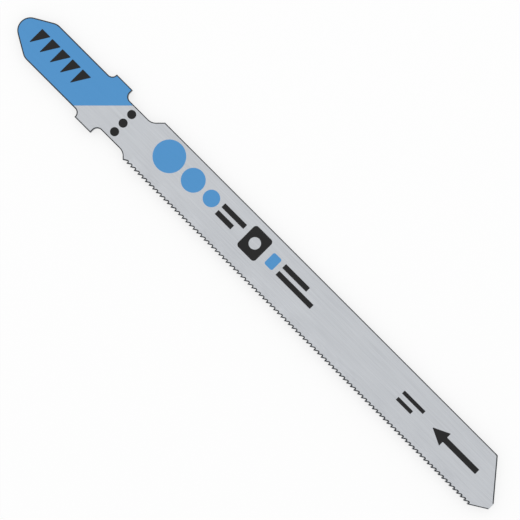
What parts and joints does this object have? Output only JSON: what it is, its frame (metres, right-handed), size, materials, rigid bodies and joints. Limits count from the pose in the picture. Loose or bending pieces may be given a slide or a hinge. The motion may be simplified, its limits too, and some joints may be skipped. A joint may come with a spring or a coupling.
{
  "type": "jigsaw blade",
  "caption": "Straight flat saw blade with a lugged T shank for a jigsaw clamp, fine wavy-set teeth along one edge and an angled tip, for cutting thin sheet metal.",
  "frame": {"origin": "below the middle of the blade's length, on the shank's centreline, at the height of the lowest tooth tip", "axes": "+X runs along the blade from the shank to the tip, +Y from the teeth to the back edge, +Z square to the flat side; the blade lies flat"},
  "size_m": [0.092, 0.0082, 0.0013],
  "materials": {
    "blade_steel": "satin ground high-speed steel",
    "blue_ink": "satin printed ink",
    "black_ink": "satin printed ink"
  },
  "bodies": {
    "root": {"jigsaw_blade": "blade_steel"}
  },
  "joints": []
}
